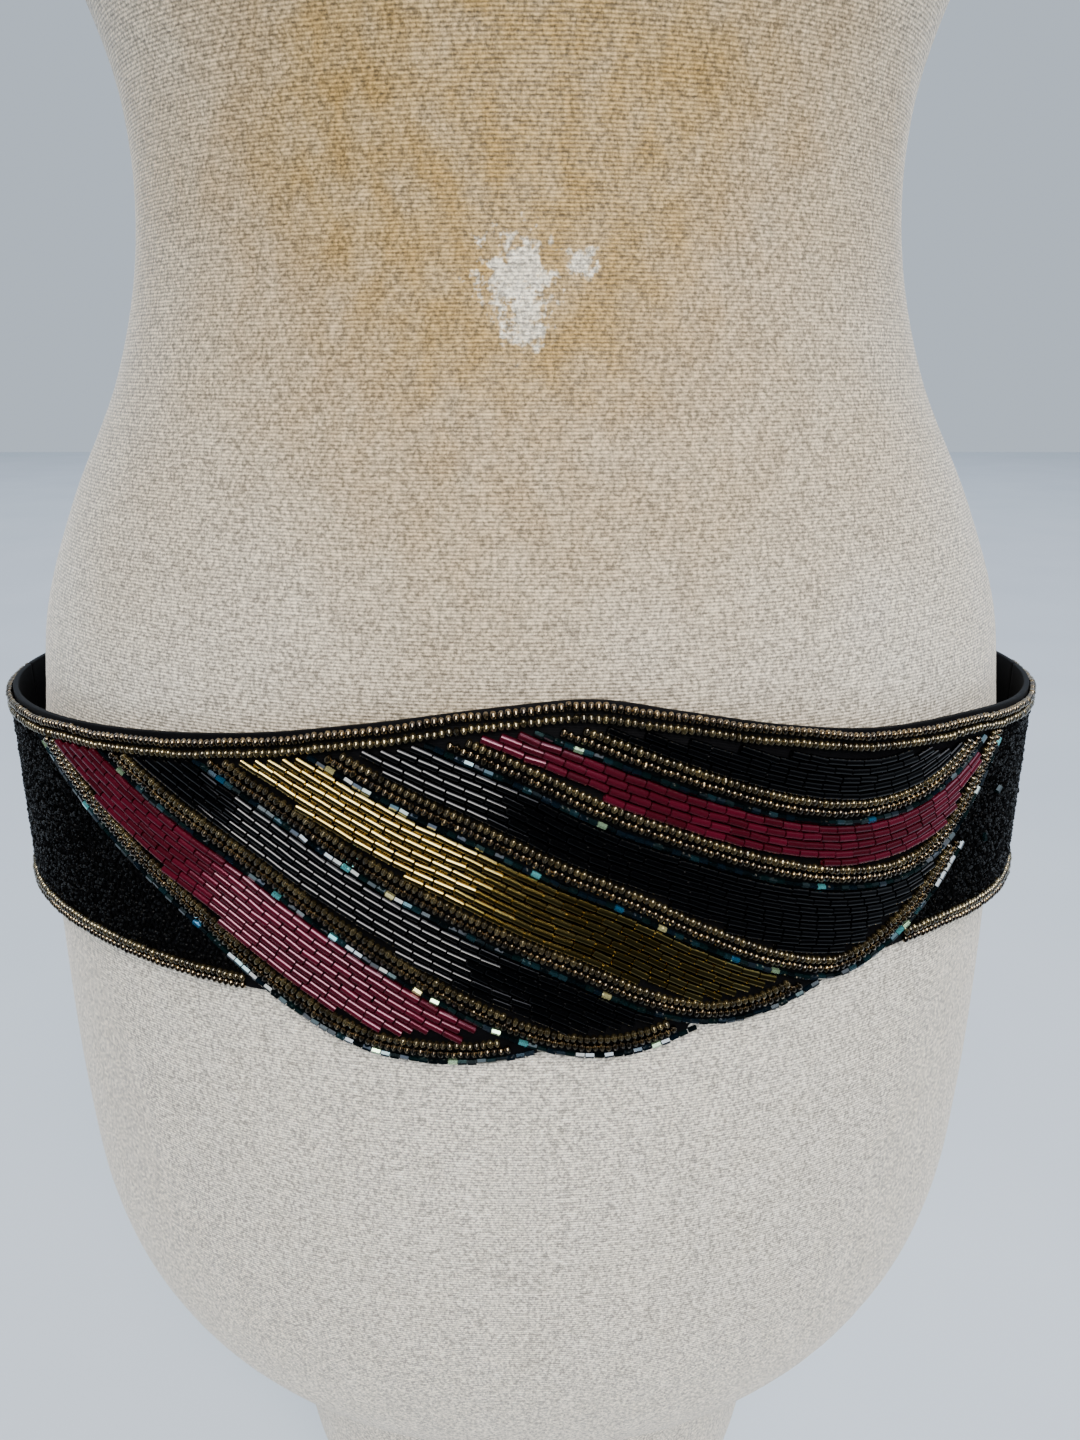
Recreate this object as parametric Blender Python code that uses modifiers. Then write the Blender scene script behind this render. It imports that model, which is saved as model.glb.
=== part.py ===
"""Beaded belt on a velvet dress form, in metres with +Z up and the front towards -Y.

The belt is a ring of cloth around the hips. Places on it are given flat, as a maker would draw
them: how far along the belt from the centre front (positive towards the wearer's left, which is
+X) and how high above or below the belt line. belt_point wraps such a place round the hips.
"""

import bmesh
import bpy
import numpy as np

MM = 0.001
FLAT_GAP = 0.3  # between pieces that touch, in mm as are all sizes below

# The stand and the dress form
BASE_RADIUS = 150.0
BASE_THICKNESS = 8.0
BASE_EDGE = 2.0
POLE_RADIUS = 16.0
BELT_LINE = 520.0  # height above the floor of the belt's top edge at the sides
FORM_SIDES = 32
FORM_TOP = 282.0
TAIL_BOTTOM = -425.0

# The velvet cover's tail under the form: height from the belt line, half width, half depth, lean
# (how far the section's middle lies behind the stand's axis)
TAIL = [
    (TAIL_BOTTOM, 74, 54, 0),
    (-360, 96, 70, 0),
    (-282, 108, 81, 0),
]
# The form from its rounded bottom over hips and waist to its flat top under the bust, likewise
TORSO = [
    (-282, 108, 81, 0),
    (-274, 126, 94, 0),
    (-256, 147, 107, 0),
    (-230, 164, 116, 0),
    (-198, 174, 121, 0),
    (-155, 178, 123, 0),
    (-90, 179, 123, 0),
    (-30, 177, 123, 0),
    (5, 173, 121.5, 0),
    (35, 168, 118, -1),
    (70, 154, 110, -4),
    (110, 133, 98, -9),
    (150, 122, 90, -12),
    (190, 122, 91, -13),
    (230, 134, 100, -14),
    (268, 147, 108, -15),
    (277, 146.5, 107.5, -15),
    (FORM_TOP, 141, 102, -15),
]

# The belt's ring, measured at the face of its beads, and its layers from that face
RING_HALF_WIDTH = 186.5
RING_HALF_DEPTH = 128.0
WALL_INNER = -4.2
WALL = 1.8
BEADS_INNER = WALL_INNER + WALL + FLAT_GAP
BUGLE_THICKNESS = 2.4
SEED_THICKNESS = 2.8
SIDE_SEAM = 240.0
FRONT_COLUMNS = np.linspace(-SIDE_SEAM, SIDE_SEAM, 81)
BACK_OVERLAP = 18.0  # how far each back end passes the centre back
OVERLAP_RAMP = 46.0
FASTENER = 0.9
FASTENER_HEIGHT = 52.0
FASTENER_LENGTH = 30.0
OVERLAP_LIFT = WALL + 3 * FLAT_GAP + 2 * FASTENER

# Edges of the cloth: along the belt, height from the belt line
TOP_EDGE = [
    (-240, 8),
    (-190, 8.5),
    (-130, 11.5),
    (-75, 16.5),
    (-38, 22),
    (-5, 27),
    (22, 29),
    (45, 25),
    (75, 19),
    (105, 14.5),
    (150, 12.5),
    (190, 9.5),
    (240, 8),
]
BOTTOM_EDGE = [
    (-240, -64),
    (-160, -63),
    (-90, -65),
    (0, -64),
    (105, -61),
    (140, -59),
    (175, -61),
    (240, -64),
]
BACK_TOP = 8.0
BACK_BOTTOM = -64.0

# The bronze row along the lower edge of each swooping band, from where it leaves the top border
# on the wearer's right, down through its lowest place and up to its tip
BANDS = {
    "a": [(-160, 1), (-130, -21), (-98, -43), (-71, -63), (-47, -75.5), (-25, -79), (-5, -77.5), (8, -74)],
    "b": [(-126, 4), (-104, -9), (-81, -21.5), (-57, -37.5), (-36, -51), (-14, -64), (6, -73.5), (24, -77),
          (38, -75.5), (52, -70.5)],
    "c": [(-90, 8), (-71, -3), (-49, -17), (-27, -30), (-6, -41), (16, -51.5), (41, -64), (60, -69),
          (78, -67), (97, -60)],
    "d": [(-54, 13), (-30, 0), (-9, -10), (12, -21), (33, -31), (56, -44), (80, -55.5), (100, -60.5),
          (117, -55), (133, -44.5), (149, -29)],
    "e": [(-22, 19), (2, 8), (23, -3), (47, -13.5), (78, -25.5), (105, -32), (126, -32), (142, -25),
          (153, -14), (166, 3)],
    "f": [(12, 21), (35, 11), (57, 2), (80, -6), (103, -10.5), (124, -9.5), (141, -3.5), (156, 6)],
}
TEAL_REACH = 4.1  # from the bronze row's middle to the outside of the teal row
GOLD_REACH = 4.0  # from there to the inside of the gold row
SLIVER = 0.9  # bands end where they get narrower than this
TOP_BORDER = 7.0  # from the cloth's edge to the inside of the border's two rows
BOTTOM_BORDER = 5.4
TOP_HEM = 1.0  # cloth that shows outside the top border, and under the rows at the bottom
BOTTOM_HEM = 0.4

# Height of an edging across its width, as a share of SEED_THICKNESS: teal, bronze, gold
EDGING_ACROSS = [(0.0, 0.45), (0.2, 0.62), (0.5, 1.0), (0.66, 0.7), (0.83, 1.0), (1.0, 0.5)]
# The same for a border of two rows, from the inside to the cloth's edge
BORDER_ACROSS = [(0.0, 0.5), (0.2, 1.0), (0.5, 0.4), (0.8, 1.0), (1.0, 0.5)]

COLOURS = {
    "velvet": ("cdbb9c", 0.75, 0.0),
    "stand_steel": ("2b2b2d", 0.4, 1.0),
    "charcoal_cloth": ("34343a", 0.9, 0.0),
    "black_beads": ("0d0d10", 0.2, 0.0),
    "burgundy_beads": ("5a1428", 0.2, 0.0),
    "gold_beads": ("b08a3c", 0.25, 0.6),
    "bronze_beads": ("4a3620", 0.25, 0.6),
    "fastener_tape": ("17171a", 0.9, 0.0),
}
BAND_MATERIALS = {
    "a": "burgundy_beads",
    "b": "black_beads",
    "c": "gold_beads",
    "d": "black_beads",
    "e": "burgundy_beads",
    "f": "black_beads",
}


def clear_scene():
    for obj in list(bpy.data.objects):
        bpy.data.objects.remove(obj, do_unlink=True)


def linear(hex_colour):
    """The linear value of an sRGB colour, with alpha 1."""
    parts = [int(hex_colour[i : i + 2], 16) / 255 for i in (0, 2, 4)]
    return [p / 12.92 if p <= 0.04045 else ((p + 0.055) / 1.055) ** 2.4 for p in parts] + [1.0]


def make_materials():
    made = {}
    for name, (colour, roughness, metallic) in COLOURS.items():
        made[name] = bpy.data.materials.new(name)
        made[name].use_nodes = True
        shader = made[name].node_tree.nodes["Principled BSDF"]
        shader.inputs["Base Color"].default_value = linear(colour)
        shader.inputs["Roughness"].default_value = roughness
        shader.inputs["Metallic"].default_value = metallic
    return made


def add_object(name, shape, material):
    """An object in the belt's collection, from a bmesh in millimetres."""
    bmesh.ops.scale(shape, vec=(MM, MM, MM), verts=shape.verts)
    mesh = bpy.data.meshes.new(name)
    shape.to_mesh(mesh)
    shape.free()
    mesh.materials.append(material)
    mesh.shade_smooth()
    mesh.set_sharp_from_angle(angle=np.radians(35))
    obj = bpy.data.objects.new(name, mesh)
    bpy.data.collections["beaded_belt"].objects.link(obj)
    return obj


def through(table, at, column=1):
    """A smooth curve through a table's rows, carried on straight past its ends."""
    x = np.array([row[0] for row in table], float)
    y = np.array([row[column] for row in table], float)
    step = np.diff(y) / np.diff(x)
    slope = np.concatenate([[step[0]], (step[1:] + step[:-1]) / 2, [step[-1]]])
    at = np.asarray(at, float)
    i = np.clip(np.searchsorted(x, at) - 1, 0, len(x) - 2)
    width = x[i + 1] - x[i]
    u = np.clip((at - x[i]) / width, 0, 1)
    inside = (
        (1 + 2 * u) * (1 - u) ** 2 * y[i]
        + u * (1 - u) ** 2 * width * slope[i]
        + u**2 * (3 - 2 * u) * y[i + 1]
        + u**2 * (u - 1) * width * slope[i + 1]
    )
    return inside + np.minimum(at - x[0], 0) * slope[0] + np.maximum(at - x[-1], 0) * slope[-1]


# How far along the ring each angle from the centre front lies
RING_ANGLES = np.linspace(-1.2 * np.pi, 1.2 * np.pi, 4801)
RING_STEPS = np.hypot(RING_HALF_WIDTH * np.cos(RING_ANGLES), RING_HALF_DEPTH * np.sin(RING_ANGLES))
RING_LENGTHS = np.cumsum(RING_STEPS) * (RING_ANGLES[1] - RING_ANGLES[0])
RING_LENGTHS -= np.interp(0, RING_ANGLES, RING_LENGTHS)
HALF_ROUND = np.interp(np.pi, RING_ANGLES, RING_LENGTHS)


def belt_point(along, height, out):
    """The place in space of a place on the flat belt, moved out from the face of its beads."""
    angle = np.interp(along, RING_LENGTHS, RING_ANGLES)
    across = np.stack([np.sin(angle) / RING_HALF_WIDTH, -np.cos(angle) / RING_HALF_DEPTH], -1)
    across /= np.linalg.norm(across, axis=-1, keepdims=True)
    x = RING_HALF_WIDTH * np.sin(angle) + out * across[..., 0]
    y = -RING_HALF_DEPTH * np.cos(angle) + out * across[..., 1]
    return np.stack([x, y, BELT_LINE + height + 0 * x], -1)


def add_wall(name, along, height, material, inner=WALL_INNER, thickness=WALL, shares=None):
    """A closed wall over a grid of places on the belt, made thick outwards.

    along has one value a column and height one row of values a place across. shares scales the
    thickness across, so that rows of beads stand out over a plain inside.
    """
    rows, columns = height.shape
    points = belt_point(np.broadcast_to(along, height.shape), height, inner)
    shape = bmesh.new()
    verts = [[shape.verts.new(points[row, column]) for column in range(columns)] for row in range(rows)]
    for row in range(rows - 1):
        for column in range(columns - 1):
            corners = (verts[row][column], verts[row][column + 1], verts[row + 1][column + 1], verts[row + 1][column])
            shape.faces.new(corners)
    obj = add_object(name, shape, material)
    shell = obj.modifiers.new("thickness", "SOLIDIFY")
    shell.thickness = thickness * MM
    shell.offset = 1.0
    if shares is not None:
        group = obj.vertex_groups.new(name="raised")
        weights = np.broadcast_to(np.asarray(shares, float), height.shape)
        for index, weight in enumerate(weights.ravel()):
            group.add([index], float(weight), "REPLACE")
        shell.vertex_group = group.name
    return obj


def slant(table, at):
    """How much longer a step across a sloping edge gets when it is taken upright."""
    return np.hypot(1, through(table, at + 0.5) - through(table, at - 0.5))


def inside_top(at):
    return through(TOP_EDGE, at) - TOP_BORDER - FLAT_GAP


def upper_limit(band, at):
    """The line that a band may reach up to: the top border or the next band's teal row."""
    names = list(BANDS)
    limit = inside_top(at)
    following = names.index(band) + 1
    if following < len(names):
        table = BANDS[names[following]]
        limit = np.minimum(limit, through(table, at) - (TEAL_REACH + FLAT_GAP) * slant(table, at))
    return limit


def columns_between(lower, upper, last):
    """The front's columns over which lower stays under upper. All pieces share them, so that edges match."""
    at = FRONT_COLUMNS[FRONT_COLUMNS <= last]
    return at[upper(at) - lower(at) > SLIVER]


def add_band(band, materials):
    table = BANDS[band]
    last = table[-1][0]

    def outside(at):
        return through(table, at) - TEAL_REACH * slant(table, at)

    def above_gold(at):
        return through(table, at) + GOLD_REACH * slant(table, at)

    def above_gap(at):
        return above_gold(at) + FLAT_GAP * slant(table, at)

    def edging_top(at):
        return np.minimum(above_gold(at), upper_limit(band, at))

    along = columns_between(outside, edging_top, last)
    low, high = outside(along), edging_top(along)
    across = np.array(EDGING_ACROSS)
    height = low + across[:, :1] * (high - low)
    shares = np.broadcast_to(across[:, 1:], height.shape)
    add_wall(f"band_{band}_edging", along, height, materials["bronze_beads"], BEADS_INNER, SEED_THICKNESS, shares)

    along = columns_between(above_gap, lambda at: upper_limit(band, at), last)
    low, high = above_gap(along), upper_limit(band, along)
    height = low + np.linspace(0, 1, 3)[:, None] * (high - low)
    add_wall(f"band_{band}_bugles", along, height, materials[BAND_MATERIALS[band]], BEADS_INNER, BUGLE_THICKNESS)


def teal_line(at):
    """The outside of the lowest teal row, or a line far above the belt where there is no band."""
    line = np.full(at.shape, 1000.0)
    for table in BANDS.values():
        reach = through(table, at) - TEAL_REACH * slant(table, at)
        within = (at > table[0][0]) & (at < table[-1][0])
        line = np.where(within, np.minimum(line, reach), line)
    return line


def panel_bottom(at):
    """The front panel's lower edge: straight at the sides and scalloped under the bands."""
    return np.minimum(through(BOTTOM_EDGE, at), teal_line(at) - BOTTOM_HEM)


def add_front(materials):
    along = FRONT_COLUMNS
    low, high = panel_bottom(along), through(TOP_EDGE, along)
    height = low + np.linspace(0, 1, 4)[:, None] * (high - low)
    add_wall("front_panel", along, height, materials["charcoal_cloth"])

    across = np.array(BORDER_ACROSS)
    top = through(TOP_EDGE, along) - TOP_HEM
    height = top - (1 - across[:, :1]) * (TOP_BORDER - TOP_HEM)
    shares = np.broadcast_to(across[:, 1:], height.shape)
    add_wall("top_border", along, height, materials["bronze_beads"], BEADS_INNER, SEED_THICKNESS, shares)

    inside = through(BOTTOM_EDGE, FRONT_COLUMNS) + BOTTOM_BORDER
    clear = inside + FLAT_GAP < teal_line(FRONT_COLUMNS)
    for side, where in (("right", FRONT_COLUMNS < 0), ("left", FRONT_COLUMNS > 0)):
        along = FRONT_COLUMNS[clear & where]
        bottom = through(BOTTOM_EDGE, along) + BOTTOM_HEM
        height = bottom + across[:, :1] * (BOTTOM_BORDER - BOTTOM_HEM)
        shares = np.broadcast_to(across[:, 1:], height.shape)
        add_wall(f"bottom_border_{side}", along, height, materials["bronze_beads"], BEADS_INNER,
                 SEED_THICKNESS, shares)


def add_back(side, materials):
    """Half of the back. The wearer's left half ends on top of the right one."""
    sign = 1 if side == "left" else -1
    end = HALF_ROUND + BACK_OVERLAP
    along = np.linspace(SIDE_SEAM + FLAT_GAP, end, 31)
    clear = HALF_ROUND - BACK_OVERLAP
    ridge = 1.4  # height of the border rows over the wall, as they are raised in its outer points
    full = WALL + ridge
    plain = WALL / full
    border = [(BACK_BOTTOM, 0), (BACK_BOTTOM + 1.2, 1), (BACK_BOTTOM + 4.2, 1), (BACK_BOTTOM + BOTTOM_BORDER, 0),
              (BACK_TOP - TOP_BORDER, 0), (BACK_TOP - 5.8, 1), (BACK_TOP - 2.2, 1), (BACK_TOP, 0)]
    height = np.array([row[0] for row in border], float)[:, None] + 0 * along
    raised = np.array([row[1] for row in border], float)[:, None] + 0 * along
    inner = WALL_INNER + 0 * along
    if side == "left":
        climb = np.clip((along - clear + OVERLAP_RAMP + 4) / OVERLAP_RAMP, 0, 1)
        inner = inner + OVERLAP_LIFT * climb**2 * (3 - 2 * climb)
    else:
        raised = raised * (along < clear - 4)
    shares = plain + (1 - plain) * raised
    order = slice(None, None, sign)
    add_wall(f"back_panel_{side}", (sign * along)[order], height[:, order], materials["charcoal_cloth"],
             np.broadcast_to(inner[order], height.shape), full, shares[:, order])


def add_fastener(materials):
    """Hook tape and loop tape between the two ends at the centre back."""
    middle = (BACK_TOP + BACK_BOTTOM) / 2
    height = middle + np.linspace(-0.5, 0.5, 2)[:, None] * FASTENER_HEIGHT
    along = HALF_ROUND + np.linspace(-0.5, 0.5, 5) * FASTENER_LENGTH
    height = height + 0 * along
    loop = WALL_INNER + WALL + FLAT_GAP
    add_wall("loop_tape", along, height, materials["fastener_tape"], loop, FASTENER)
    add_wall("hook_tape", along, height, materials["fastener_tape"], loop + FASTENER + FLAT_GAP, FASTENER)


def add_form(materials):
    """The velvet form: rings from the tail's bottom to the form's top, closed by a fan at each end."""
    heights = np.concatenate([np.linspace(TAIL[0][0], TAIL[-1][0], 5)[:-1], [row[0] for row in TORSO]])
    shape = bmesh.new()
    rings = []
    for level in heights:
        table = TAIL if level < TAIL[-1][0] else TORSO
        width, depth, lean = (through(table, level, column) for column in (1, 2, 3))
        turn = np.arange(FORM_SIDES) * 2 * np.pi / FORM_SIDES
        ring = [shape.verts.new((width * np.sin(t), lean - depth * np.cos(t), BELT_LINE + level)) for t in turn]
        rings.append(ring)
    for below, above in zip(rings, rings[1:]):
        for i in range(FORM_SIDES):
            j = (i + 1) % FORM_SIDES
            shape.faces.new((below[i], below[j], above[j], above[i]))
    shape.faces.new(rings[0][::-1])
    shape.faces.new(rings[-1])
    add_object("velvet_form", shape, materials["velvet"])


def add_cylinder(name, radius, bottom, top, sides, material, edge=0.0):
    shape = bmesh.new()
    made = bmesh.ops.create_cone(shape, cap_ends=True, segments=sides, radius1=radius, radius2=radius, depth=top - bottom)
    bmesh.ops.translate(shape, vec=(0, 0, (top + bottom) / 2), verts=made["verts"])
    obj = add_object(name, shape, material)
    if edge:
        rounding = obj.modifiers.new("rounded edge", "BEVEL")
        rounding.width = edge * MM
        rounding.segments = 2


def add_stand(materials):
    steel = materials["stand_steel"]
    add_cylinder("stand_base", BASE_RADIUS, 0, BASE_THICKNESS, 48, steel, BASE_EDGE)
    pole_bottom = BASE_THICKNESS + FLAT_GAP
    pole_top = BELT_LINE + TAIL_BOTTOM - FLAT_GAP
    add_cylinder("stand_pole", POLE_RADIUS, pole_bottom, pole_top, 24, steel)


clear_scene()
bpy.context.scene.collection.children.link(bpy.data.collections.new("beaded_belt"))
palette = make_materials()
add_stand(palette)
add_form(palette)
add_front(palette)
for band_name in BANDS:
    add_band(band_name, palette)
for back_side in ("left", "right"):
    add_back(back_side, palette)
add_fastener(palette)
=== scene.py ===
"""Looks of the beaded belt on its velvet form. Sizes are in millimetres until they become a mesh."""

import bmesh
import bpy
import numpy as np
from mathutils import Matrix, Vector


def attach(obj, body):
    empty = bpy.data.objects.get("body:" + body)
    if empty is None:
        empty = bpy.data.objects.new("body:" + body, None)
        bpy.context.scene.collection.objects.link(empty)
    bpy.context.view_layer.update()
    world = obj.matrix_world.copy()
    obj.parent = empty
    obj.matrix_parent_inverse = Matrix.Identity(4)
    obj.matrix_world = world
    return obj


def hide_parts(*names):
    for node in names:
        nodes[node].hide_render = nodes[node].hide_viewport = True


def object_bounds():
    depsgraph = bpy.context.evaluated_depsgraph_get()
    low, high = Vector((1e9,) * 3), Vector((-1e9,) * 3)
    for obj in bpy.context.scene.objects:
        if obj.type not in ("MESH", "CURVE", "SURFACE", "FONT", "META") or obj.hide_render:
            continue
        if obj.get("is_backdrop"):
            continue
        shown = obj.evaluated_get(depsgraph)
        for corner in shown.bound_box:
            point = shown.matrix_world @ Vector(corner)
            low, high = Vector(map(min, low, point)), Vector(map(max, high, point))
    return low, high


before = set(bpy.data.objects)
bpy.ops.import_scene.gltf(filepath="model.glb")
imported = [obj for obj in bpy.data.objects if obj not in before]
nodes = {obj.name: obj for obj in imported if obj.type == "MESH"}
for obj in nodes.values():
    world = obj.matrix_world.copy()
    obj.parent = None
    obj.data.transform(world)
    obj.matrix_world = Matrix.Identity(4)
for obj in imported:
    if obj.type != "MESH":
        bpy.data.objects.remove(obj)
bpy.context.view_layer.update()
MM = 0.001


# The stand
# A round steel base plate with a tube welded to it, both powder-coated satin black. The coat is
# baked on, so it has a faint orange-peel skin and no bare edge.


def colour(hex_colour):
    """The linear value of an sRGB colour, with alpha 1."""
    parts = [int(hex_colour[i : i + 2], 16) / 255 for i in (0, 2, 4)]
    return [p / 12.92 if p <= 0.04045 else ((p + 0.055) / 1.055) ** 2.4 for p in parts] + [1.0]


def add_node(tree, kind, inputs=None, **settings):
    """A node with its settings, and its inputs set to values or linked to sockets."""
    made = tree.nodes.new(kind)
    for name, value in settings.items():
        setattr(made, name, value)
    for name, value in (inputs or {}).items():
        if isinstance(value, bpy.types.NodeSocket):
            tree.links.new(value, made.inputs[name])
        else:
            made.inputs[name].default_value = value
    return made


def new_material(name, inputs):
    """A material, its node tree and its Principled shader with these inputs."""
    made = bpy.data.materials.new(name)
    made.use_nodes = True
    tree = made.node_tree
    shader = tree.nodes["Principled BSDF"]
    for socket, value in inputs.items():
        shader.inputs[socket].default_value = value
    return made, tree, shader


def noise(tree, place, size, detail, roughness=0.5):
    """Noise with features about size millimetres wide."""
    inputs = {"Vector": place, "Scale": 1 / (size * MM), "Detail": detail, "Roughness": roughness}
    return add_node(tree, "ShaderNodeTexNoise", inputs).outputs["Fac"]


def add_relief(tree, shader, height, strength, depth):
    """Relief in a surface, this many millimetres deep."""
    inputs = {"Height": height, "Strength": strength, "Distance": depth * MM}
    skin = add_node(tree, "ShaderNodeBump", inputs)
    tree.links.new(skin.outputs["Normal"], shader.inputs["Normal"])


powder_coat, tree, shader = new_material(
    "powder_coated_steel", {"Base Color": colour("232326"), "Roughness": 0.42, "Coat Weight": 0.2}
)
place = add_node(tree, "ShaderNodeTexCoord").outputs["Object"]
PEEL_SIZE, PEEL_DEPTH = 1.6, 0.05
add_relief(tree, shader, noise(tree, place, PEEL_SIZE, 2.0), 0.15, PEEL_DEPTH)
for name in ("stand_base", "stand_pole"):
    nodes[name].material_slots[0].material = powder_coat


# The velvet form
# A padded torso without limbs in a cover of crushed stretch velvet, which hangs on below it as a
# tail. The pile is pale at the sides and below, and golden over the stomach, partly rubbed wear
# and partly painted shade where the pile faces the camera.


def through(table, at, column=1):
    """A smooth curve through a table's rows, carried on straight past its ends."""
    x = np.array([row[0] for row in table], float)
    y = np.array([row[column] for row in table], float)
    step = np.diff(y) / np.diff(x)
    slope = np.concatenate([[step[0]], (step[1:] + step[:-1]) / 2, [step[-1]]])
    at = np.asarray(at, float)
    i = np.clip(np.searchsorted(x, at) - 1, 0, len(x) - 2)
    width = x[i + 1] - x[i]
    u = np.clip((at - x[i]) / width, 0, 1)
    inside = (
        (1 + 2 * u) * (1 - u) ** 2 * y[i]
        + u * (1 - u) ** 2 * width * slope[i]
        + u**2 * (3 - 2 * u) * y[i + 1]
        + u**2 * (u - 1) * width * slope[i + 1]
    )
    return inside + np.minimum(at - x[0], 0) * slope[0] + np.maximum(at - x[-1], 0) * slope[-1]


def corners(obj):
    """The corners of a frame node's mesh, in millimetres."""
    found = np.empty(len(obj.data.vertices) * 3)
    obj.data.vertices.foreach_get("co", found)
    return found.reshape(-1, 3) / MM


def finish_piece(name, shape, material, replaces=()):
    """An object from a bmesh in metres, smooth, riding on the part and standing for these nodes."""
    mesh = bpy.data.meshes.new(name)
    shape.to_mesh(mesh)
    shape.free()
    return finish_mesh(name, mesh, material, replaces)


def finish_mesh(name, mesh, material, replaces=()):
    mesh.materials.append(material)
    mesh.shade_smooth()
    mesh.set_sharp_from_angle(angle=np.radians(40))
    obj = bpy.data.objects.new(name, mesh)
    bpy.context.scene.collection.objects.link(obj)
    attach(obj, "root")
    if replaces:
        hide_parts(*replaces)
    return obj


FORM_SIDES = 128
LEVEL_STEP = 6.0
SAME_LEVEL = 0.06  # corners this close in height are on one section
form_corners = corners(nodes["velvet_form"])
sections = []
for level in np.unique(form_corners[:, 2].round(1)):
    ring = form_corners[np.abs(form_corners[:, 2] - level) < SAME_LEVEL]
    front, back = ring[:, 1].min(), ring[:, 1].max()
    sections.append((level, np.abs(ring[:, 0]).max(), (back - front) / 2, (back + front) / 2))


def widening(i):
    """How fast the form widens from one of its sections to the next."""
    return (sections[i + 1][1] - sections[i][1]) / (sections[i + 1][0] - sections[i][0])


# The tail meets the torso in a crease, where the widening changes most.
crease = max(range(1, len(sections) - 1), key=lambda i: widening(i) - widening(i - 1))
tail_sections, torso_sections = sections[: crease + 1], sections[crease:]
stretches = []
for table in (tail_sections, torso_sections):
    count = int((table[-1][0] - table[0][0]) / LEVEL_STEP)
    even = np.linspace(table[0][0], table[-1][0], count)
    stretch = []
    for level in np.unique(np.concatenate([even, [row[0] for row in table]])):
        stretch.append([level] + [float(through(table, level, column)) for column in (1, 2, 3)])
    stretches.append(stretch)
shape = bmesh.new()
made = bmesh.ops.create_circle(shape, cap_ends=True, segments=FORM_SIDES, radius=1.0)
rim = made["verts"]
turns = [np.arctan2(v.co.x, -v.co.y) for v in rim]
edges = list(shape.edges)
levels = stretches[0] + stretches[1][1:]


def set_ring(verts, angles, section):
    """Moves a ring of corners onto a section of the form, each to its own angle."""
    level, width, depth, lean = section
    for vert, angle in zip(verts, angles):
        vert.co = (width * np.sin(angle) * MM, (lean - depth * np.cos(angle)) * MM, level * MM)


set_ring(rim, turns, levels[0])
for section in levels[1:]:
    angle_of = {vert: angle for vert, angle in zip(rim, turns)}
    pulled = bmesh.ops.extrude_edge_only(shape, edges=edges)["geom"]
    edges = [item for item in pulled if isinstance(item, bmesh.types.BMEdge)]
    new_rim = [item for item in pulled if isinstance(item, bmesh.types.BMVert)]
    turns = []
    for vert in new_rim:
        below = [edge.other_vert(vert) for edge in vert.link_edges if edge.other_vert(vert) in angle_of]
        turns.append(angle_of[below[0]])
    rim = new_rim
    set_ring(rim, turns, section)
bmesh.ops.edgenet_fill(shape, edges=edges)
bmesh.ops.recalc_face_normals(shape, faces=shape.faces)


def remap(tree, value, start, end, low, high):
    """A value from start to end turned into one from low to high, which it doesn't pass."""
    inputs = {"Value": value, "From Min": start, "From Max": end, "To Min": low, "To Max": high}
    return add_node(tree, "ShaderNodeMapRange", inputs).outputs[0]


def calculate(tree, operation, *values):
    """The result of a sum with numbers and sockets."""
    return add_node(tree, "ShaderNodeMath", dict(enumerate(values)), operation=operation).outputs[0]


def length_of(tree, arrow):
    return add_node(tree, "ShaderNodeVectorMath", {0: arrow}, operation="LENGTH").outputs["Value"]


def blend(tree, factor, first, second, **settings):
    """Two colours mixed by a factor."""
    inputs = {"Factor": factor, "A": first, "B": second}
    return add_node(tree, "ShaderNodeMix", inputs, data_type="RGBA", **settings).outputs["Result"]


WAVES_A_METRE = 3.18  # what a wave texture of scale 1 has


def even_lines(tree, place, pitch, direction, inputs):
    """Soft lines across a direction, one pitch in millimetres apart."""
    inputs = {"Vector": place, "Scale": 1 / (pitch * MM) / WAVES_A_METRE, **inputs}
    return add_node(tree, "ShaderNodeTexWave", inputs, bands_direction=direction).outputs["Fac"]


# Pile flattened in patches catches light differently, so its colour is mottled in palm-sized and
# thumb-sized patches with fine flecks: the paler smears are painted sheen, the flecks painted glints
# and specks of painted shade, and the knit's courses show through it as level lines.
velvet, tree, shader = new_material(
    "crushed_stretch_velvet",
    {"Roughness": 0.6, "Sheen Weight": 0.45, "Sheen Roughness": 0.3, "Sheen Tint": colour("fffaf2")},
)
place = add_node(tree, "ShaderNodeTexCoord").outputs["Object"]
PALE_PILE, SHEEN_SMEAR_PILE, RUBBED_SHADED_PILE, BARE_GROUND = "ddd4c4", "dccfb4", "a08046", "e4dcc8"
PATCH_SIZE, SMEAR_SIZE, FRAY_SIZE, FLECK_SIZE = 55.0, 9.0, 2.6, 1.1
COURSE_PITCH = 0.95
SMEAR_MOST = 0.24
FLECK_GLINT_SHADES = (0.42, 1.6)  # how dark and how light the flecks and the courses make the pile
COURSE_SHADES = (0.7, 1.2)
PILE_DEPTH = 0.35
patches = noise(tree, place, PATCH_SIZE, 3.0)
stretched = add_node(tree, "ShaderNodeMapping", {"Vector": place, "Scale": (1.0, 1.0, 0.7)})
smears = noise(tree, stretched.outputs[0], SMEAR_SIZE, 4.0)
flecks = noise(tree, place, FLECK_SIZE, 3.0, 0.7)
frayed = noise(tree, place, FRAY_SIZE, 3.0, 0.6)
courses = even_lines(
    tree, place, COURSE_PITCH, "Z", {"Distortion": 1.2, "Detail": 2.0, "Detail Scale": 0.6}
)
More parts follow.
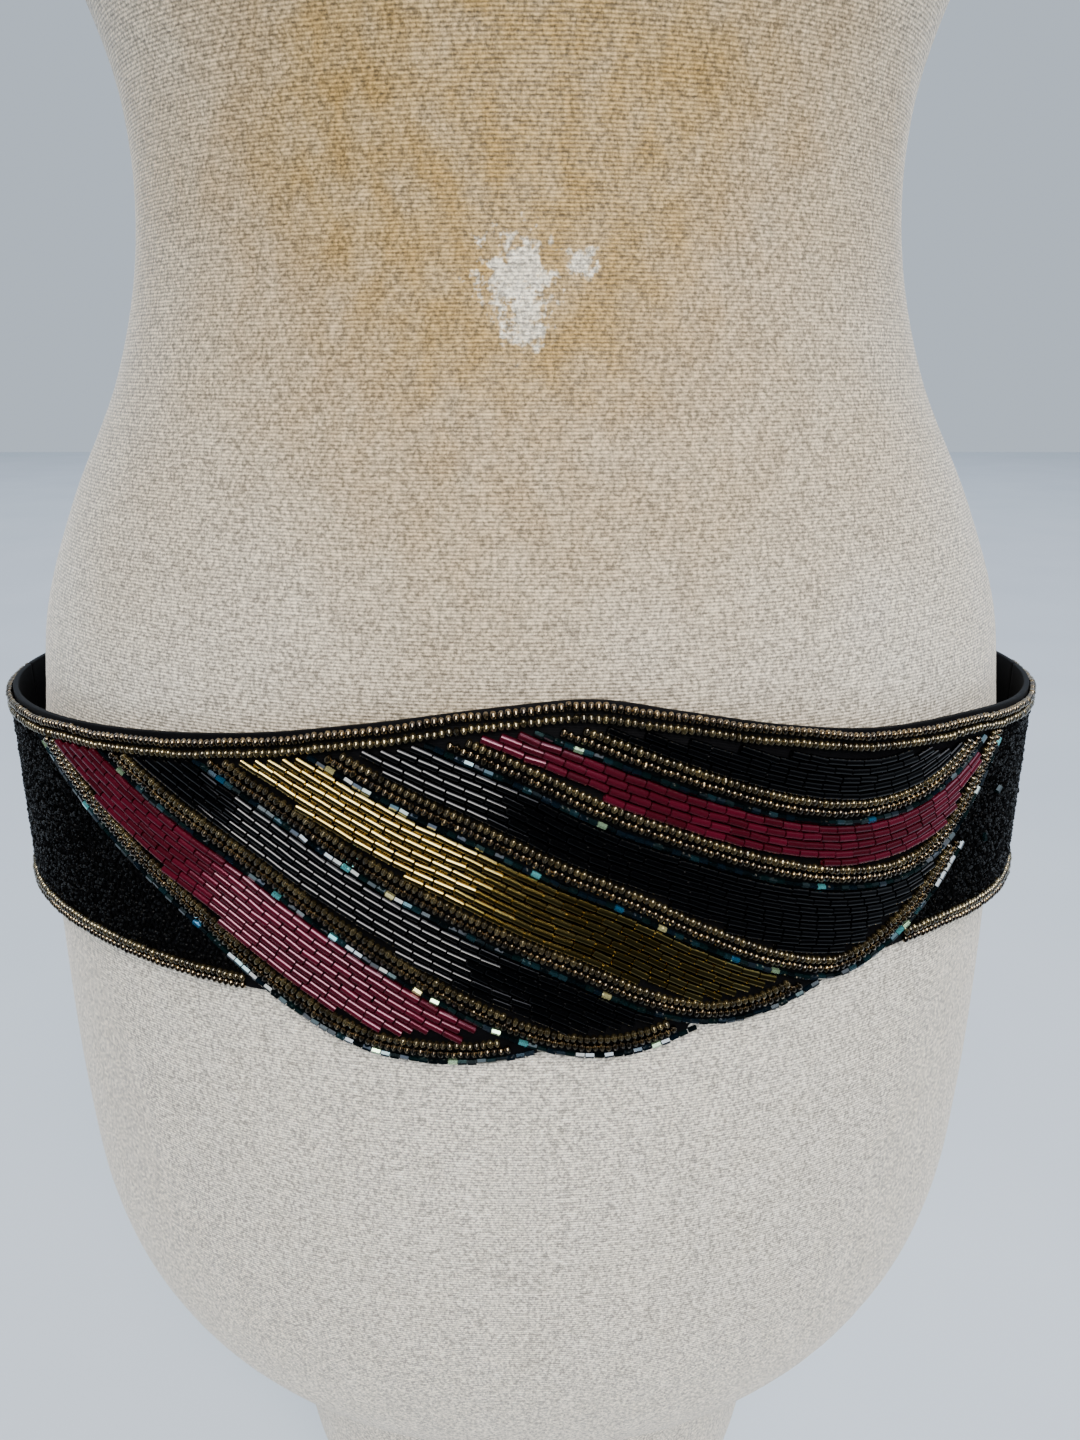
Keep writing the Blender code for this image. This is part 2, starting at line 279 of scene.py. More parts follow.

# The stomach's golden zone is partly rubbed wear and partly painted shade, where the pile faces the
# camera. It has its middle at one height. Its width and reach are the distances over which it fades,
# full at one part of them and gone at another, with an edge made ragged.
WEAR_SHADE_MIDDLE = 690.0
WEAR_SHADE_WIDTH, WEAR_SHADE_REACH = 118.0, 140.0
WEAR_SHADE_FULL, WEAR_SHADE_GONE = 0.35, 1.55
WEAR_SHADE_RAGGED = 0.6
# The golden zone's wear and painted shade fade out towards the form's middle plane.
FRONT_FADE = 50.0  # how far before the form's middle plane the wear is full
parts = add_node(tree, "ShaderNodeSeparateXYZ", {"Vector": place})
sideways = calculate(tree, "MULTIPLY", parts.outputs["X"], 1 / (WEAR_SHADE_WIDTH * MM))
upwards = calculate(tree, "SUBTRACT", parts.outputs["Z"], WEAR_SHADE_MIDDLE * MM)
upwards = calculate(tree, "MULTIPLY", upwards, 1 / (WEAR_SHADE_REACH * MM))
away = add_node(tree, "ShaderNodeCombineXYZ", {"X": sideways, "Y": upwards})
ragged = calculate(tree, "MULTIPLY_ADD", patches, WEAR_SHADE_RAGGED, -WEAR_SHADE_RAGGED / 2)
ragged = calculate(tree, "ADD", ragged, length_of(tree, away.outputs[0]))
front_side = remap(tree, parts.outputs["Y"], 0.0, -FRONT_FADE * MM, 0.0, 1.0)
# Golden where the rubbed wear and painted shade are full, pale where they are gone.
rubbed_shaded = remap(tree, ragged, WEAR_SHADE_GONE, WEAR_SHADE_FULL, 0.0, 1.0)
rubbed_shaded = calculate(tree, "MULTIPLY", rubbed_shaded, front_side)
pile = blend(tree, rubbed_shaded, colour(PALE_PILE), colour(RUBBED_SHADED_PILE))
# The paler smears are painted sheen of flattened pile.
sheen_smeared = remap(tree, smears, 0.35, 0.75, 0.0, SMEAR_MOST)
crushed = blend(tree, sheen_smeared, pile, colour(SHEEN_SMEAR_PILE))

# Where the pile is rubbed through, the pale ground shows in three ragged marks, each with its
# place across and up the form and its half size across and up.
WEAR_MARKS = [(0.5, 655.0, 9.5, 9.5), (2.5, 646.0, 6.0, 8.5), (17.0, 658.0, 4.5, 4.0)]
MARK_FRAYED = 3.4
MARK_FULL, MARK_GONE = 0.55, 1.0
MARK_MOST = 0.85
for mark_x, mark_z, half_width, half_height in WEAR_MARKS:
    middle = (mark_x * MM, 0.0, mark_z * MM)
    across_and_up = (1 / (half_width * MM), 0.0, 1 / (half_height * MM))
    from_mark = add_node(tree, "ShaderNodeVectorMath", {0: place, 1: middle}, operation="SUBTRACT")
    squeezed = add_node(
        tree,
        "ShaderNodeVectorMath",
        {0: from_mark.outputs[0], 1: across_and_up},
        operation="MULTIPLY",
    )
    torn = calculate(tree, "MULTIPLY_ADD", frayed, MARK_FRAYED, -MARK_FRAYED / 2)
    torn = calculate(tree, "ADD", torn, length_of(tree, squeezed.outputs[0]))
    bare = remap(tree, torn, MARK_GONE, MARK_FULL, 0.0, MARK_MOST)
    bare = calculate(tree, "MULTIPLY", bare, front_side)
    crushed = blend(tree, bare, crushed, colour(BARE_GROUND))
# The flecks' light and dark specks are painted glints and painted shade in the pile.
fleck_glint_shade = remap(tree, flecks, 0.38, 0.64, *FLECK_GLINT_SHADES)
course_shade = remap(tree, courses, 0.1, 0.9, *COURSE_SHADES)
knit_and_glints = calculate(tree, "MULTIPLY", fleck_glint_shade, course_shade)
glint_flecked = blend(tree, 1.0, crushed, knit_and_glints, blend_type="MULTIPLY")
tree.links.new(glint_flecked, shader.inputs["Base Color"])
add_relief(tree, shader, calculate(tree, "MULTIPLY_ADD", courses, 0.5, flecks), 0.7, PILE_DEPTH)
finish_piece("velvet_cover", shape, velvet, ["velvet_form"])


# The belt's cloth
# A front panel and two back panels of charcoal satin over a firm backing, bound at the edges and
# wrapped round the hips. Only a hem shows above the beads, and the satin back inside the sides.
BELT_LINE = 520.0
RING_HALF_WIDTH = 186.5
RING_HALF_DEPTH = 128.0
WALL_INNER = -4.2
WALL = 1.8
WALL_FACE = WALL_INNER + WALL
SIDE_SEAM = 240.0
SEAM_GAP = 0.3
BACK_OVERLAP = 18.0
OVERLAP_RAMP = 46.0
OVERLAP_CLEAR = 4.0  # kept free beside each of the two ends
OVERLAP_LIFT = 4.5
BACK_TOP = 8.0
BACK_BOTTOM = -64.0
TOP_EDGE = [
    (-240, 8), (-190, 8.5), (-130, 11.5), (-75, 16.5), (-38, 22), (-5, 27), (22, 29), (45, 25),
    (75, 19), (105, 14.5), (150, 12.5), (190, 9.5), (240, 8),
]
BOTTOM_EDGE = [
    (-240, -64), (-160, -63), (-90, -65), (0, -64), (105, -61), (140, -59), (175, -61), (240, -64),
]
BANDS = {
    "a": [(-160, 1), (-130, -21), (-98, -43), (-71, -63), (-47, -75.5), (-25, -79), (-5, -77.5), (8, -74)],
    "b": [(-126, 4), (-104, -9), (-81, -21.5), (-57, -37.5), (-36, -51), (-14, -64), (6, -73.5), (24, -77),
          (38, -75.5), (52, -70.5)],
    "c": [(-90, 8), (-71, -3), (-49, -17), (-27, -30), (-6, -41), (16, -51.5), (41, -64), (60, -69),
          (78, -67), (97, -60)],
    "d": [(-54, 13), (-30, 0), (-9, -10), (12, -21), (33, -31), (56, -44), (80, -55.5), (100, -60.5),
          (117, -55), (133, -44.5), (149, -29)],
    "e": [(-22, 19), (2, 8), (23, -3), (47, -13.5), (78, -25.5), (105, -32), (126, -32), (142, -25),
          (153, -14), (166, 3)],
    "f": [(12, 21), (35, 11), (57, 2), (80, -6), (103, -10.5), (124, -9.5), (141, -3.5), (156, 6)],
}
TEAL_REACH = 4.1
GOLD_REACH = 4.0
TOP_BORDER = 7.0
BOTTOM_BORDER = 5.4
BOTTOM_HEM = 0.4

# How far along the ring each angle from the centre front lies
RING_ANGLES = np.linspace(-1.2 * np.pi, 1.2 * np.pi, 4801)
RING_STEPS = np.hypot(RING_HALF_WIDTH * np.cos(RING_ANGLES), RING_HALF_DEPTH * np.sin(RING_ANGLES))
RING_LENGTHS = np.cumsum(RING_STEPS) * (RING_ANGLES[1] - RING_ANGLES[0])
RING_LENGTHS -= np.interp(0, RING_ANGLES, RING_LENGTHS)
HALF_ROUND = np.interp(np.pi, RING_ANGLES, RING_LENGTHS)
BACK_CLEAR = HALF_ROUND - BACK_OVERLAP


def overlap_lift(along):
    """How far the wearer's left end climbs over the right one."""
    climb = np.clip((along - BACK_CLEAR + OVERLAP_RAMP + OVERLAP_CLEAR) / OVERLAP_RAMP, 0, 1)
    return OVERLAP_LIFT * climb**2 * (3 - 2 * climb)


def belt_place(along, height, out):
    """Where a place on the flat belt lies in space, and the belt's directions along it and outwards."""
    along, height, out = np.broadcast_arrays(np.asarray(along, float), height, out)
    angle = np.interp(along, RING_LENGTHS, RING_ANGLES)
    outwards = np.stack([np.sin(angle) / RING_HALF_WIDTH, -np.cos(angle) / RING_HALF_DEPTH, 0 * angle], -1)
    outwards /= np.linalg.norm(outwards, axis=-1, keepdims=True)
    forward = np.stack([-outwards[..., 1], outwards[..., 0], 0 * angle], -1)
    level = BELT_LINE + height
    ring = np.stack([RING_HALF_WIDTH * np.sin(angle), -RING_HALF_DEPTH * np.cos(angle), level], -1)
    return ring + outwards * np.asarray(out)[..., None], forward, outwards


def slope(table, at):
    """How far a table's curve rises over the millimetre round a place."""
    return through(table, at + 0.5) - through(table, at - 0.5)


def slant(table, at):
    """How much longer a step across a sloping edge gets when it is taken upright."""
    return np.hypot(1, slope(table, at))


FAR_ABOVE = 1000.0


def teal_line(at):
    """The outside of the lowest teal row, or a line far above the belt where there is no band."""
    line = np.full(np.shape(at), FAR_ABOVE)
    for table in BANDS.values():
        reach = through(table, at) - TEAL_REACH * slant(table, at)
        within = (at > table[0][0]) & (at < table[-1][0])
        line = np.where(within, np.minimum(line, reach), line)
    return line


def front_bottom(at):
    return np.minimum(through(BOTTOM_EDGE, at), teal_line(at) - BOTTOM_HEM)


def front_top(at):
    return through(TOP_EDGE, at)


def back_bottom(at):
    return BACK_BOTTOM + 0 * at


def back_top(at):
    return BACK_TOP + 0 * at


# Satin floats run along the belt, 0.45 mm apart, which is as fine as this render can show.
satin, tree, shader = new_material("charcoal_satin", {"Roughness": 0.6, "Specular IOR Level": 0.08})
THREAD_PITCH, THREAD_DEPTH = 0.45, 0.1
SHADE_SIZE = 4.0
EDGE_ROUNDING = 0.4
AREA_STRIPS = 2000
flat = add_node(tree, "ShaderNodeAttribute", attribute_name="flat_place").outputs["Vector"]
threads = even_lines(tree, flat, THREAD_PITCH, "Y", {"Distortion": 0.6, "Detail": 1.0})
dye = blend(tree, noise(tree, flat, SHADE_SIZE, 3.0), colour("050507"), colour("0b0b0e"))
tree.links.new(dye, shader.inputs["Base Color"])
add_relief(tree, shader, threads, 0.4, THREAD_DEPTH)


def cut_cloth(name, first, last, bottom, top, lift, columns, rows, node):
    """A panel cut flat between two ends and two edges, wrapped on the ring and given its thickness."""
    shape = bmesh.new()
    bmesh.ops.create_grid(shape, x_segments=columns, y_segments=rows, size=1.0)
    grid = np.array([vert.co for vert in shape.verts])
    along = first + (grid[:, 0] + 1) / 2 * (last - first)
    low, high = bottom(along), top(along)
    height = low + (grid[:, 1] + 1) / 2 * (high - low)
    points = belt_place(along, height, WALL_INNER + lift(along))[0] * MM
    for vert, point in zip(shape.verts, points):
        vert.co = point
    mesh = bpy.data.meshes.new(name)
    shape.to_mesh(mesh)
    shape.free()
    flat = mesh.attributes.new("flat_place", "FLOAT_VECTOR", "POINT")
    flat.data.foreach_set("vector", (np.stack([along, height, 0 * along], -1) * MM).ravel())
    obj = finish_mesh(name, mesh, satin, [node])
    wall = obj.modifiers.new("thickness", "SOLIDIFY")
    wall.thickness = WALL * MM
    wall.offset = 1.0
    bound = obj.modifiers.new("bound edge", "BEVEL")
    bound.width = EDGE_ROUNDING * MM
    bound.segments = 2
    bound.limit_method = "ANGLE"
    bound.angle_limit = np.radians(50)
    at = np.linspace(first, last, AREA_STRIPS + 1)
    area = np.mean(top(at) - bottom(at)) * (last - first) * MM**2
    size = ((last - first) * MM, (top(at).max() - bottom(at).min()) * MM)
    return obj


def no_lift(along):
    return 0 * along


BACK_END = HALF_ROUND + BACK_OVERLAP
cut_cloth("front_cloth", -SIDE_SEAM, SIDE_SEAM, front_bottom, front_top, no_lift, 240, 10, "front_panel")
cut_cloth("back_cloth_left", SIDE_SEAM + SEAM_GAP, BACK_END, back_bottom, back_top, overlap_lift, 110, 6,
          "back_panel_left")
cut_cloth("back_cloth_right", -BACK_END, -SIDE_SEAM - SEAM_GAP, back_bottom, back_top, no_lift, 110, 6,
          "back_panel_right")


# The closure
# A strip of hook tape under one end and a strip of loop tape on the other hold the belt at the
# centre back. Both are woven nylon with a fuzzy face.
tape, tree, shader = new_material("woven_nylon_tape", {"Base Color": colour("17171a"), "Roughness": 0.9})
place = add_node(tree, "ShaderNodeTexCoord").outputs["Object"]
FUZZ_SIZE, FUZZ_DEPTH = 0.9, 0.3
add_relief(tree, shader, noise(tree, place, FUZZ_SIZE, 2.0), 0.8, FUZZ_DEPTH)
for name in ("hook_tape", "loop_tape"):
    nodes[name].material_slots[0].material = tape


# Seed beads of the borders
# Round rocaille glass beads, 2 mm long and about 2.6 mm across, couched in rows. The outer row of
# each border is metallic bronze, and the inner one is clear olive glass lined with gold.
rng = np.random.default_rng(7)


def seed_bead(width, length, around, rings):
    """A rounded bead with its hole along Z, in millimetres."""
    shape = bmesh.new()
    bmesh.ops.create_uvsphere(shape, u_segments=around, v_segments=rings, radius=1.0)
    bmesh.ops.scale(shape, vec=(width / 2, width / 2, length / 2), verts=shape.verts)
    return shape


def sew(
    name, bead, along, height, out, heading, material, replaces=(), size=None, roll=None, flat=False
):
    """Copies of one bead, laid on the belt with its hole along a heading, joined in one mesh."""
    count = len(along)
    corner = np.array([vert.co for vert in bead.verts])
    faces = [[vert.index for vert in face.verts] for face in bead.faces]
    bead.free()
    middle, forward, outwards = belt_place(along, height, out)
    upwards = np.array([0.0, 0.0, 1.0])
    thread = forward * np.cos(heading)[:, None] + upwards * np.sin(heading)[:, None]
    across = np.cross(outwards, thread)
    roll = np.zeros(count) if roll is None else roll
    side = across * np.cos(roll)[:, None] + outwards * np.sin(roll)[:, None]
    front = outwards * np.cos(roll)[:, None] - across * np.sin(roll)[:, None]
    size = np.ones((count, 3)) if size is None else size
    local = corner[None] * size[:, None]
    points = (
        middle[:, None]
        + local[..., :1] * side[:, None]
        + local[..., 1:2] * front[:, None]
        + local[..., 2:] * thread[:, None]
    )
    offsets = np.arange(count) * len(corner)
    copies = [tuple(index + offset for index in face) for offset in offsets.tolist() for face in faces]
    mesh = bpy.data.meshes.new(name)
    mesh.from_pydata((points.reshape(-1, 3) * MM).tolist(), [], copies)
    shade = mesh.attributes.new("bead_shade", "FLOAT", "POINT")
    shade.data.foreach_set("value", np.repeat(rng.random(count), len(corner)))
    reach = mesh.attributes.new("bead_end", "FLOAT", "POINT")
    reach.data.foreach_set("value", np.tile(np.abs(corner[:, 2]) / np.abs(corner[:, 2]).max(), count))
    obj = finish_mesh(name, mesh, material, replaces)
    if flat:
        mesh.shade_flat()
    return obj


# Painted shade darkens each bead towards its holes, where beads meet and the holes sink in.
HOLE_SHADE_START, HOLE_SHADE_DARKNESS = 0.9, 0.8  # from the bead's middle in half lengths, and at its end


def bead_material(name, dark, light, end, inputs):
    """Glass of one dye lot: each bead a little lighter or darker, and darker towards its holes by painted
    shade.
    """
    made, tree, shader = new_material(name, inputs)
    lot = add_node(tree, "ShaderNodeAttribute", attribute_name="bead_shade").outputs["Fac"]
    reach = add_node(tree, "ShaderNodeAttribute", attribute_name="bead_end").outputs["Fac"]
    dyed = blend(tree, lot, colour(dark), colour(light))
    hole_shade = remap(tree, reach, HOLE_SHADE_START, 1.0, 0.0, HOLE_SHADE_DARKNESS)
    # The end colour is the painted shade at the holes.
    tree.links.new(blend(tree, hole_shade, dyed, colour(end)), shader.inputs["Base Color"])
    return made


bronze_glass = bead_material(
    "bronze_metallic_glass", "463824", "8a744c", "0a0805",
    {"Metallic": 1.0, "Roughness": 0.2, "Coat Weight": 0.8, "Coat Roughness": 0.08, "Coat IOR": 1.8},
)
gold_lined_glass = bead_material(
    "gold_lined_olive_glass", "443a22", "8a7a50", "1a160a",
    {"Metallic": 0.9, "Roughness": 0.2, "Coat Weight": 1.0, "Coat Roughness": 0.08, "Coat IOR": 1.7},
)
BRONZE_WIDTH, BRONZE_PITCH = 2.6, 2.0
GOLD_WIDTH, GOLD_PITCH = 2.7, 2.0
ROW_LIFT = 1.25  # from the cloth's face to a seed bead's middle
HEADING_REACH = 0.4  # a bead's heading is taken over this much of its line on each side

# How unevenly the seed beads are sewn: outwards and upwards in millimetres, in parts of their own
# width and length, and in heading
SEED_OUT_SPREAD, SEED_UP_SPREAD = 0.07, 0.1
SEED_WIDTH_SPREAD, SEED_LENGTH_SPREAD = 0.04, 0.05
SEED_TURN_SPREAD = 0.09


def places_along(along, height, pitch):
    """Places one pitch apart on a line given by many points, with the line's heading at each."""
    step = np.hypot(np.diff(along), np.diff(height))
    run = np.concatenate([[0], np.cumsum(step)])
    at = np.arange(0.0, run[-1], pitch)
    place, level = np.interp(at, run, along), np.interp(at, run, height)
    next_at, last_at = at + HEADING_REACH, at - HEADING_REACH
    ahead, above = np.interp(next_at, run, along), np.interp(next_at, run, height)
    behind, below = np.interp(last_at, run, along), np.interp(last_at, run, height)
    return place, level, np.arctan2(above - below, ahead - behind)


def sew_row(name, along, height, width, pitch, material, replaces=(), lift=None):
    """A couched row of seed beads, with the small unevenness of hand sewing."""
    place, level, heading = places_along(along, height, pitch)
    count = len(place)
    out = WALL_FACE + ROW_LIFT + rng.normal(0, SEED_OUT_SPREAD, count)
    if lift is not None:
        out = out + lift(place)
    spreads = (SEED_WIDTH_SPREAD, SEED_WIDTH_SPREAD, SEED_LENGTH_SPREAD)
    size = np.stack([rng.normal(1, spread, count) for spread in spreads], -1)
    level = level + rng.normal(0, SEED_UP_SPREAD, count)
    heading = heading + rng.normal(0, SEED_TURN_SPREAD, count)
    bead = seed_bead(width, pitch * 1.02, 8, 6)
    return sew(name, bead, place, level, out, heading, material, replaces, size)


# The borders' lines have a point about every half millimetre.
END_HEM = 1.5
beads_start, beads_end = -BACK_CLEAR + OVERLAP_CLEAR, BACK_END - END_HEM
front = np.linspace(-SIDE_SEAM, SIDE_SEAM, 961)
left = np.linspace(SIDE_SEAM, beads_end, 509)
right = np.linspace(beads_start, -SIDE_SEAM, 461)
TOP_BRONZE, TOP_GOLD = 2.3, 5.6  # from the cloth's top edge down to the rows' middles
BOTTOM_BRONZE, BOTTOM_GOLD = 1.5, 4.1  # from its bottom edge up
PEAK_RISE = 0.9  # how much nearer the edge both top rows run over the peak
PEAK_STRETCH = [-80, -30, 90, 150]  # where that rise starts, is full, is last full and ends
HAND_WAVE = 0.35  # how far hand sewing lets the top rows stray, in two wave lengths
ring_along = np.concatenate([right[:-1], front, left[1:]])
ring_top = np.concatenate([back_top(right[:-1]), front_top(front), back_top(left[1:])])
ring_top = ring_top + PEAK_RISE * np.interp(ring_along, PEAK_STRETCH, [0, 1, 1, 0])
ring_top = ring_top + HAND_WAVE * np.sin(ring_along / 7.3) * np.sin(ring_along / 19.0)
sew_row("top_bronze_row", ring_along, ring_top - TOP_BRONZE, BRONZE_WIDTH, BRONZE_PITCH, bronze_glass,
        ["top_border"], overlap_lift)
sew_row("top_gold_row", ring_along, ring_top - TOP_GOLD, GOLD_WIDTH, GOLD_PITCH, gold_lined_glass,
        ["top_border"], overlap_lift)
inside_bottom = through(BOTTOM_EDGE, front) + BOTTOM_BORDER < teal_line(front)
for side, own, rest in (("right", front < 0, right[:-1]), ("left", front > 0, left[1:])):
    kept = front[inside_bottom & own]
    low = through(BOTTOM_EDGE, kept)
    if side == "right":
        row_along = np.concatenate([rest, kept])
        row_low = np.concatenate([back_bottom(rest), low])
    else:
        row_along = np.concatenate([kept, rest])
        row_low = np.concatenate([low, back_bottom(rest)])
    node = f"bottom_border_{side}"
    sew_row(f"bottom_bronze_row_{side}", row_along, row_low + BOTTOM_BRONZE, BRONZE_WIDTH, BRONZE_PITCH,
            bronze_glass, [node], overlap_lift)
    sew_row(f"bottom_gold_row_{side}", row_along, row_low + BOTTOM_GOLD, GOLD_WIDTH, GOLD_PITCH,
            gold_lined_glass, [node], overlap_lift)


# Edgings of the swooping bands
# Each band ends below in three couched rows: gold-lined seeds, bronze seeds, and outside them
# short six-sided bugles of dark iris glass, whose cut faces flash green, blue and yellow.


def inside_top(at):
    return front_top(at) - TOP_BORDER


def band_after(band):
    """The band that lies over this one's end of the rows, or none past the last."""
    names = list(BANDS)
    following = names.index(band) + 1
    return names[following] if following < len(names) else None


def space_above(band, at, level):
    """How far a place lies under what ends its band: the top border or the next band's teal row."""
    space = inside_top(at) - level
    following = band_after(band)
    if following:
        table = BANDS[following]
        space = np.minimum(space, (through(table, at) - level) / slant(table, at) - TEAL_REACH)
    return space


LINE_STEP = 0.5
ROW_LEAD = 20.0  # how far before a band's first place its rows' lines start


def band_line(band, reach, before=ROW_LEAD):
    """A band's bronze row moved square to itself by reach, as many points, from before its start."""
    table = BANDS[band]
    at = np.arange(table[0][0] - before, table[-1][0] + LINE_STEP / 2, LINE_STEP)
    rise = slope(table, at)
    stretch = np.hypot(1, rise)
    return at - reach * rise / stretch, through(table, at) + reach / stretch


iris_glass, tree, shader = new_material(
    "iris_hex_cut_glass",
    {"Metallic": 0.75, "Roughness": 0.16, "Coat Weight": 0.8, "Coat Roughness": 0.03},
)
lot = add_node(tree, "ShaderNodeAttribute", attribute_name="bead_shade").outputs["Fac"]
lustre = add_node(tree, "ShaderNodeValToRGB", {"Fac": lot})
ramp = lustre.color_ramp
ramp.interpolation = "CONSTANT"
IRIS_TONES = [
    (0.0, "0a181c"),
    (0.34, "132a2c"),
    (0.6, "122430"),
    (0.8, "1f4048"),
    (0.92, "2b6f96"),
    (0.945, "6fd0d4"),
    (0.965, "a8c8a0"),
    (0.985, "e8e0a0"),
]
ramp.elements[0].color = colour(IRIS_TONES[0][1])
ramp.elements[1].position = IRIS_TONES[1][0]
ramp.elements[1].color = colour(IRIS_TONES[1][1])
for position, tone in IRIS_TONES[2:]:
    ramp.elements.new(position).color = colour(tone)
tree.links.new(lustre.outputs["Color"], shader.inputs["Base Color"])

TEAL_WIDTH, TEAL_LENGTH, TEAL_PITCH = 1.8, 2.75, 2.9
TEAL_SIDES, TEAL_RIM = 6, 0.12
TEAL_GAP = 0.15  # between the cloth's face and a teal bead
TEAL_UP_SPREAD, TEAL_OUT_SPREAD, TEAL_TURN_SPREAD = 0.08, 0.06, 0.05
TEAL_OFFSET, GOLD_OFFSET = -2.9, 2.75  # from the bronze row's middle, square to it
SEED_ROOM, TEAL_ROOM = 1.1, 0.9  # what a row needs between its middle and the end of its band
SAME_END = 0.01


def glass_tube(width, length, sides, rim):
    """A cut tube with its hole along Z and polished rims, in millimetres."""
    shape = bmesh.new()
    radius = width / 2
    bmesh.ops.create_cone(
        shape, cap_ends=True, segments=sides, radius1=radius, radius2=radius, depth=length
    )
    ends = [e for e in shape.edges if abs(e.verts[0].co.z - e.verts[1].co.z) < SAME_END]
    bmesh.ops.bevel(
        shape, geom=ends, offset=rim, segments=1, profile=0.5, affect="EDGES", material=-1
    )
    return shape


for band in BANDS:
    node = f"band_{band}_edging"
    for title, reach, width, pitch, glass, slot in (
        ("bronze", 0.0, BRONZE_WIDTH, BRONZE_PITCH, bronze_glass, "bronze_beads"),
        ("gold", GOLD_OFFSET, GOLD_WIDTH, GOLD_PITCH, gold_lined_glass, "gold_beads"),
    ):
        along, height = band_line(band, reach)
        kept = space_above(band, along, height) > SEED_ROOM
        sew_row(f"band_{band}_{title}_row", along[kept], height[kept], width, pitch, glass, [node])
    along, height = band_line(band, TEAL_OFFSET)
    kept = space_above(band, along, height) > TEAL_ROOM
    along, height, heading = places_along(along[kept], height[kept], TEAL_PITCH)
    count = len(along)
    sew(
        f"band_{band}_teal_row",
        glass_tube(TEAL_WIDTH, TEAL_LENGTH, TEAL_SIDES, TEAL_RIM),
        along,
        height + rng.normal(0, TEAL_UP_SPREAD, count),
        WALL_FACE + TEAL_WIDTH / 2 + TEAL_GAP + rng.normal(0, TEAL_OUT_SPREAD, count),
        heading + rng.normal(0, TEAL_TURN_SPREAD, count),
        iris_glass,
        [node],
        roll=rng.random(count) * np.pi,
        flat=True,
    )


# Two stray ones sit on the black beads beside the last band's end.
STRAY_ALONG, STRAY_HEIGHT = np.array([171.0, 165.0]), np.array([-18.0, -33.0])
STRAY_HEADING, STRAY_ROLL = np.array([0.5, 1.9]), np.array([0.3, 1.1])
STRAY_LIFT = 0.9
sew(
    "stray_teal_beads",
    glass_tube(TEAL_WIDTH, TEAL_LENGTH, TEAL_SIDES, TEAL_RIM),
    STRAY_ALONG,
    STRAY_HEIGHT,
    WALL_FACE + TEAL_WIDTH / 2 + STRAY_LIFT,
    STRAY_HEADING,
    iris_glass,
    roll=STRAY_ROLL,
    flat=True,
)


# Bugle fields of the swooping bands
# Straight glass tubes 6 mm long, couched end to end in rows that follow the next band's edging
# down to their own: burgundy, black, silver-lined gold, black, burgundy and black.
BUGLE_WIDTH, BUGLE_LENGTH = 2.35, 6.0
BUGLE_PITCH, BUGLE_ROW_PITCH = 6.2, 2.55
BUGLE_SIDES, BUGLE_RIM = 10, 0.16
HOLE_RADIUS, HOLE_DEPTH = 0.45, 0.5
BUGLE_SLACK = 0.45  # how far a bugle may push in over the seeds that end its row
BUGLE_GAP = 0.1  # between the cloth's face and a bugle
FIRST_ROW_TUCK = 0.1  # how far the first row pushes in under the next band's teal one
MOST_ROWS = 14  # more than the widest field holds
BUGLE_LEAD = 45.0  # how far before a band's first place its bugles' lines start
END_ROOM = 1.0  # what a bugle keeps from the band's last place
SEARCH_STEP = 0.3  # how finely a free place is looked for along a row
PITCH_SPREAD, BUGLE_LENGTH_SPREAD = 0.12, 0.02
BUGLE_UP_SPREAD, BUGLE_OUT_SPREAD, BUGLE_TURN_SPREAD = 0.06, 0.05, 0.025


def bugle_bead():
    """A glass tube with its two holes sunk into it."""
    shape = glass_tube(BUGLE_WIDTH, BUGLE_LENGTH, BUGLE_SIDES, BUGLE_RIM)
    caps = [face for face in shape.faces if len(face.verts) == BUGLE_SIDES]
    rim = BUGLE_WIDTH / 2 - BUGLE_RIM - HOLE_RADIUS
    bmesh.ops.inset_individual(shape, faces=caps, thickness=rim)
    for face in caps:
        inwards = -face.normal * HOLE_DEPTH
        bmesh.ops.translate(shape, vec=inwards, verts=face.verts)
    return shape


def lay_end_to_end(along, height, free):
    """Bugles on a line, each as early on it as its whole length is free: places and headings."""
    run = np.concatenate([[0], np.cumsum(np.hypot(np.diff(along), np.diff(height)))])
    laid = []
    start = 0.0
    while start + BUGLE_LENGTH < run[-1]:
        ends = [start, start + BUGLE_LENGTH]
        if free[(run >= ends[0]) & (run <= ends[1])].all():
            first, last = np.interp(ends, run, along)
            low, high = np.interp(ends, run, height)
            laid.append([(first + last) / 2, (low + high) / 2, np.arctan2(high - low, last - first)])
            start += BUGLE_PITCH + rng.uniform(0, PITCH_SPREAD)
        else:
            start += SEARCH_STEP
    return laid


burgundy_glass = bead_material(
    "burgundy_lustre_glass", "4a0816", "640e26", "100206",
    {"Metallic": 0.2, "Roughness": 0.2, "Specular IOR Level": 1.0, "Specular Tint": colour("e4b0c8"),
     "Coat Weight": 0.5, "Coat Roughness": 0.04, "Coat Tint": colour("f4d4e4")},
)
black_glass = bead_material(
    "black_lustre_glass", "010102", "030304", "010101",
    {"Roughness": 0.5, "Specular IOR Level": 0.0, "Coat Weight": 1.0, "Coat Roughness": 0.03},
)
gold_bugle_glass = bead_material(
    "silver_lined_gold_glass", "b4984a", "dcc474", "140e05",
    {"Metallic": 1.0, "Roughness": 0.15, "Coat Weight": 0.4, "Coat Roughness": 0.03},
)
FIELDS = {
    "a": (burgundy_glass, "burgundy_beads"),
    "b": (black_glass, "black_beads"),
    "c": (gold_bugle_glass, "gold_beads"),
    "d": (black_glass, "black_beads"),
    "e": (burgundy_glass, "burgundy_beads"),
    "f": (black_glass, "black_beads"),
}
